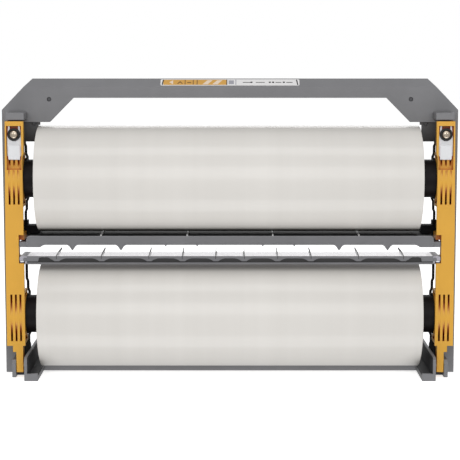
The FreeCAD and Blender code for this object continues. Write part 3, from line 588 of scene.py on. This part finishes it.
def make_lower_jaw():
    """Lower half of the guide: a film table, pale in its own tone and brightened with painted light, whose lip
    comes down in a pad under each fin.
    """
    low, high = box_mm("lower_guide_jaw")
    half, top, bottom = high.x - LUG_LONG, high.z, low.z
    last_arch = (PADS_X[-1] + 5.0, half - 9.5)  # X of the arch outside the last pad
    slices = 640
    vertices = []
    for step in range(slices + 1):
        x = -half + 2 * half * step / slices
        z = top - LIP_TALL - PAD_DROP * pad_drop(x)
        across = (abs(x) - last_arch[0]) / (last_arch[1] - last_arch[0])
        if 0 < across < 1:
            z += math.sqrt(math.sin(across * math.pi))
        elif across >= 1:
            z = top - LIP_END_TALL
        vertices += [(x, ahead(LIP_BACK), top), (x, ahead(LIP_FRONT - LIP_BREAK), top),
                     (x, ahead(LIP_FRONT), top - LIP_BREAK), (x, ahead(LIP_FRONT), z + LIP_BREAK),
                     (x, ahead(LIP_FRONT - LIP_BREAK), z), (x, ahead(LIP_BACK), z)]
    add_piece("lower_jaw_lip", vertices, skin(slices + 1, 6), "guide_grey", "frame", smooth=True)

    web = [(ahead(WEB_FRONT), bottom + 1.4), (ahead(WEB_FRONT), top - 1.0), (ahead(WEB_BACK), top - 1.0),
           (ahead(WEB_BACK), bottom + 0.6)]
    beam("lower_jaw_web", web, -half + 0.2, half - 0.2, "guide_grey", "frame",
         material=MATERIALS["guide_shadow"])
    low_bead = [(ahead(LIP_FRONT - 0.5), bottom), (ahead(LIP_FRONT), bottom + 0.5),
                (ahead(LIP_FRONT), bottom + 1.2), (ahead(LIP_FRONT - 0.4), bottom + 1.6),
                (ahead(WEB_BACK), bottom + 1.5), (ahead(WEB_BACK), bottom)]
    beam("lower_jaw_bead", low_bead, -half, half, "guide_grey", "frame", smooth=True)
    table = [(ahead(TABLE_FRONT), top - 0.6), (ahead(TABLE_FRONT - 0.2), top + 0.05),
             (ahead(TABLE_BACK + 0.6), top + 0.05), (ahead(TABLE_BACK), top - 0.5),
             (ahead(TABLE_BACK), top - 2.5), (ahead(LIP_BACK), top - 2.5)]
    beam("lower_jaw_table", table, -half + 0.1, half - 0.1, "guide_clear", "frame", smooth=True,
         replaces=("lower_guide_jaw",))

    stud_face, stud_radius = -0.3, 1.6
    stud = [(stud_face, 0.0), (stud_face, stud_radius - 0.3), (0.0, stud_radius), (0.6, stud_radius),
            (0.6, 0.0)]
    for side, sign in SIDES:
        outline = [(half - 0.2, bottom + 0.6), (half + 1.2, bottom + 0.6), (half + 1.8, bottom + 2.4),
                   (high.x - 0.9, bottom + 2.4), (high.x, bottom + 3.2), (high.x, top - 0.8),
                   (high.x - 0.7, top), (half - 0.2, top)]
        plate("lower_jaw_%s_lug" % side, [(sign * x, z) for x, z in outline], ahead(LOWER_LUG_BACK),
              ahead(LOWER_LUG_FRONT), "guide_clear", "frame", edge=0.3, material=MATERIALS["guide_lug"])
        lathe("lower_jaw_%s_stud" % side, stud, "Y",
              (sign * (half + 1.4), ahead(LOWER_LUG_FRONT), top - 2.6), "guide_grey", "frame", steps=40)


def make_fins():
    """Webs on the film table, painted white as a highlight, each with a rib painted near black as shade that
    runs from its pad on the lip to past the table's back edge."""
    low, high = box_mm("guide_fins")
    web_half, rib_half = 0.4, 0.2  # half thicknesses
    web = [(ahead(19.4), low.z - 0.2), (ahead(18.8), low.z + 0.5), (ahead(12), low.z + 1.3),
           (ahead(1), low.z + 1.5), (ahead(-5), low.z - 0.2)]
    rib_front = LIP_FRONT + 0.15
    rib = [(ahead(rib_front), low.z - 2.2), (ahead(rib_front), low.z + 0.1), (ahead(19.6), low.z + 0.6),
           (ahead(8), low.z + 1.6), (ahead(2), high.z), (high.y - 0.8, high.z), (high.y, high.z - 0.8),
           (high.y, low.z + 0.6), (ahead(TABLE_BACK), low.z - 0.1)]
    for number, x in enumerate(PADS_X):
        inward = -0.45 if x > 0 else 0.45  # the web stands this far nearer the middle than its pad
        web_x, rib_x = x + inward, x - inward * 0.5
        beam("fin_web_%d" % number, web, web_x - web_half, web_x + web_half, "guide_clear", "frame",
             replaces=("guide_fins",) if number == 0 else (), edge=0.1, material=MATERIALS["white_fin_highlight_and_roof_rib"])
        beam("fin_rib_%d" % number, rib, rib_x - rib_half, rib_x + rib_half, "guide_grey", "frame",
             material=MATERIALS["guide_shadow"])


def bead(name, path, width, back, front):
    """A raised rim on the guide along a path in XZ, with its two front edges broken, in a lighter grey that is a
    painted highlight.
    """
    soft = 0.2 * width
    section = [(back, 0.0), (front + 0.2, 0.0), (front, soft), (front, width - soft), (front + 0.2, width),
               (back, width)]
    vertices = [(x, y, z + up) for x, z in path for y, up in section]
    add_piece(name, vertices, skin(len(path), len(section)), "guide_grey", "frame",
              material=MATERIALS["guide_edge_highlight"])


def tooth_edge(x, wide, drop):
    """A hanging tooth with hollow flanks: offsets across and down from the jaw's lower edge."""
    flank = [(wide, 0.0), (wide * 0.62, -drop * 0.2), (wide * 0.32, -drop * 0.62), (0.3, -drop)]
    near = [(x - across, down) for across, down in flank]
    return near + [(x + across, down) for across, down in flank[::-1]]


def make_upper_jaw():
    """Upper half of the guide: a front lip with hanging teeth, beaded along both edges, and ribs over the
    roof."""
    low, high = box_mm("upper_guide_jaw")
    top, lip = high.z - 0.8, low.z + JAW_TEETH[-1][2]
    half = high.x - LUG_LONG
    right = []
    for x, wide, drop in JAW_TEETH:
        right += [(across, lip + down) for across, down in tooth_edge(x, wide, drop)]
    right += [(147.0, lip), (148.6, lip - 0.5), (151.0, UPPER_LUG_LOW)]
    lower_edge = [(-x, z) for x, z in right[::-1]] + right
    lower_edge = [(-half, UPPER_LUG_LOW)] + lower_edge + [(half, UPPER_LUG_LOW)]
    upper_edge = [(half, top - 2.0), (half - 0.5, top - 0.7), (half - 1.8, top)]
    upper_edge += [(-x, z) for x, z in upper_edge[::-1]]
    plate("upper_jaw_lip", lower_edge + upper_edge, ahead(UPPER_LIP_BACK), ahead(UPPER_LIP_FRONT),
          "guide_grey", "frame", replaces=("upper_guide_jaw",))

    bead("upper_jaw_top_bead", upper_edge, -0.75, ahead(BEAD_BACK), ahead(BEAD_FRONT))
    bead("upper_jaw_tooth_bead", [(x, z + 0.6) for x, z in lower_edge[1:-1]], 0.6, ahead(BEAD_BACK),
         ahead(TOOTH_BEAD_FRONT))
    end_bead = [(half - 0.7, UPPER_LUG_LOW + 2), (half, UPPER_LUG_LOW + 2), (half, top - 2),
                (half - 0.7, top - 1.2)]
    lug_high = UPPER_LUG_LOW + UPPER_LUG_TALL
    lug = [(half - 1.2, UPPER_LUG_LOW), (high.x, UPPER_LUG_LOW), (high.x, lug_high), (half - 1.2, lug_high)]
    roof_rib = [(ahead(ROOF_FRONT), top - 0.6), (ahead(ROOF_FRONT - 1.4), high.z),
                (ahead(ROOF_BACK + 0.4), high.z), (ahead(ROOF_BACK), high.z - 0.4),
                (ahead(ROOF_BACK), top - 0.3)]
    for side, sign in SIDES:
        plate("upper_jaw_%s_end_bead" % side, [(sign * x, z) for x, z in end_bead], ahead(ROOF_FRONT),
              ahead(BEAD_FRONT), "guide_grey", "frame", material=MATERIALS["guide_edge_highlight"])
        plate("upper_jaw_%s_lug" % side, [(sign * x, z) for x, z in lug], ahead(UPPER_LUG_BACK),
              ahead(ROOF_FRONT), "guide_grey", "frame", edge=0.3)
        for number, x in enumerate(ROOF_RIBS_X):
            beam("roof_%s_rib_%d" % (side, number), roof_rib, sign * x - 0.6, sign * x + 0.6, "guide_grey",
                 "frame", edge=0.12, material=MATERIALS["white_fin_highlight_and_roof_rib"])


def make_label():
    """Plate with round corners on the bevel, and a print of plain bars and dots. It lies 2 degrees flatter
    than the bevel, so that its upper edge is almost flush."""
    low, high = box_mm("label_plate")
    # How far the CAD plate's underside lies behind its box's front and below its top.
    across, thick = 0.23, 0.33
    slope = math.atan2(high.z - low.z - thick, high.y - low.y + across)
    run = Vector((0, math.cos(slope), math.sin(slope)))
    out = Vector((0, -math.sin(slope), math.cos(slope)))
    start = Vector((0, low.y + across, low.z))
    tall = math.hypot(high.y - low.y - across, high.z - low.z - thick)
    ink_top, ink_thick = 0.40, 0.06

    def patch(name, outline, rise, deep, material, **extra):
        """An outline of (X, distance up the bevel) lifted off it."""
        vertices = [start + Vector((x, 0, 0)) + run * up + out * lift
                    for lift in (rise - deep, rise) for x, up in outline]
        return add_piece(name, vertices, skin(2, len(outline)), "label", "frame", material=material, **extra)

    def bar(name, x0, x1, up0, up1, ink, lean=0.0, rise=ink_top):
        patch(name, [(x0, up0), (x1, up0), (x1 + lean, up1), (x0 + lean, up1)], rise, ink_thick, PRINTS[ink])

    def mark(name, outline, ink):
        """An outline of (X, share of the label's height)."""
        patch(name, [(x, tall * share) for x, share in outline], ink_top, ink_thick, PRINTS[ink])

    half = (high.x - low.x) / 2
    corner, corner_steps = 1.4, 4
    outline = []
    for sx, sy in ((1, 1), (-1, 1), (-1, -1), (1, -1)):
        for step in range(corner_steps + 1):
            turn = math.atan2(sy, sx) - math.pi / 4 + math.pi / 2 * step / corner_steps
            outline.append((sx * (half - corner) + corner * math.cos(turn),
                            tall / 2 + sy * (tall / 2 - corner) + corner * math.sin(turn)))
    patch("label_body", outline, thick, thick, MATERIALS["label"], replaces=("label_plate",))
    bottom, top = 0.7, tall - 0.7
    bar("label_orange", -half + 2.3, -2.9, bottom, top, "orange", rise=0.37)
    bar("label_left_end", -half + 1.0, -half + 1.9, bottom, top, "ink", lean=0.8)
    bar("label_right_end", half - 1.9, half - 1.0, bottom, top, "ink", lean=-0.8)
    for number, x in enumerate((-36.2, -29.7, -26.6)):
        bar("label_tick_%d" % number, x, x + 0.7, bottom + 0.3, top - 0.3, "brown")
    mark("label_arrow", [(-48.6, 0.5), (-45.4, 0.84), (-45.4, 0.16)], "pale")
    mark("label_mark", [(-42.4, 0.26), (-39.9, 0.7), (-37.4, 0.26), (-38.6, 0.26), (-39.9, 0.48),
                        (-41.2, 0.26)], "brown")
    bar("label_mark_low", -34.2, -31.0, tall * 0.36, tall * 0.52, "brown")
    for number, x in enumerate((-22.0, -14.2)):
        bar("label_slash_%d" % number, x, x + 4.2, bottom + 0.7, top - 0.7, "pale", lean=4.0)
    bar("label_divider", -2.9, -2.2, bottom, top, "ink")
    mark("label_square", [(-1.1, 0.2), (3.1, 0.2), (3.1, 0.8), (-1.1, 0.8)], "grey")
    bar("label_divider_right", 4.4, 5.0, bottom, top, "grey")
    middle = tall * 0.48
    for number, (x, long) in enumerate(((10.2, 7.4), (20.6, 7.2), (36.4, 4.6), (45.0, 5.0))):
        bar("label_dash_%d" % number, x, x + long, middle - 0.35, middle + 0.35, "ink")
    for number, x in enumerate((16.4, 31.0, 33.6, 42.2)):
        bar("label_dot_%d" % number, x, x + 1.6, middle - 0.6, middle + 1.0, "ink")


# ---------------------------------------------------------------- stage

# Sizes in metres, and lamps in watts: place, what it is aimed at, width, height, power.
CAMERA_DISTANCE, CAMERA_HEIGHT, CAMERA_TILT, CAMERA_LENS = 1.2, 0.264, 83, 117.4
FLOOR_HALF, FLOOR_WHITE, FLOOR_GLOW = 6.0, 0.92, 0.64
LAMPS = {
    "key": ((0, -1.9, 0.75), (0, 0, 0.12), 2.2, 0.9, 12.6),
    "top": ((0, -0.6, 1.5), (0, 0, 0.1), 1.6, 0.5, 6),
    "back": ((0, 1.9, 0.9), (0, 0, 0.12), 2.0, 0.8, 7),
    "light_table": ((0, -0.9, -1.2), (0, 0, 0.1), 2.0, 0.8, 9.5),  # shines up through the floor
}


def make_camera():
    """A little above the object, in front of the rolls, and tilted a little down."""
    axis_y = JOINT_PLACE["upper_roll_spin"][1]
    camera = bpy.data.objects.new("camera", bpy.data.cameras.new("camera"))
    camera.data.sensor_width = 36
    camera.data.lens = CAMERA_LENS
    camera.location = (0, axis_y - CAMERA_DISTANCE, CAMERA_HEIGHT)
    camera.rotation_euler = (math.radians(CAMERA_TILT), 0, 0)
    bpy.context.scene.collection.objects.link(camera)
    bpy.context.scene.camera = camera


def add_area_light(name, location, target, width, height, power):
    light = bpy.data.lights.new(name, "AREA")
    light.shape = "RECTANGLE"
    light.size, light.size_y = width, height
    light.energy = power
    lamp = bpy.data.objects.new(name, light)
    lamp.location = location
    lamp.rotation_euler = (Vector(target) - Vector(location)).to_track_quat("-Z", "Y").to_euler()
    bpy.context.scene.collection.objects.link(lamp)


def make_floor():
    """White, glowing a little, and bouncing no light onto the object."""
    mesh = bpy.data.meshes.new("floor")
    corners = [(sx * FLOOR_HALF, sy * FLOOR_HALF, 0) for sx, sy in ((-1, -1), (1, -1), (1, 1), (-1, 1))]
    mesh.from_pydata(corners, [], [(0, 1, 2, 3)])
    floor = bpy.data.objects.new("floor", mesh)
    floor.location.z = cad_low.z
    material, _, shader = new_material("floor_white")
    shader.inputs["Base Color"].default_value = (FLOOR_WHITE, FLOOR_WHITE, FLOOR_WHITE, 1)
    shader.inputs["Roughness"].default_value = 0.9
    shader.inputs["Emission Color"].default_value = (1, 1, 1, 1)
    shader.inputs["Emission Strength"].default_value = FLOOR_GLOW
    mesh.materials.append(material)
    for kind in ("diffuse", "glossy", "shadow"):
        setattr(floor, "visible_" + kind, False)
    bpy.context.scene.collection.objects.link(floor)


def make_world():
    """Surroundings that the camera sees as white, and that light the object at the ambient strength."""
    world = bpy.data.worlds.new("studio")
    world.use_nodes = True
    nodes, links = world.node_tree.nodes, world.node_tree.links
    background = nodes["Background"]
    background.inputs["Color"].default_value = (1, 1, 1, 1)
    seen = nodes.new("ShaderNodeLightPath")
    level = nodes.new("ShaderNodeMapRange")
    level.inputs["To Min"].default_value = AMBIENT
    level.inputs["To Max"].default_value = 1.0
    links.new(seen.outputs["Is Camera Ray"], level.inputs["Value"])
    links.new(level.outputs["Result"], background.inputs["Strength"])
    bpy.context.scene.world = world
    bpy.context.scene.view_settings.view_transform = "Standard"


dress_cad_nodes()
make_films()
make_plugs()
make_latch_fasteners()
make_lower_jaw()
make_fins()
make_upper_jaw()
make_label()
make_camera()
make_floor()
make_world()
for lamp_name, settings in LAMPS.items():
    add_area_light(lamp_name, *settings)
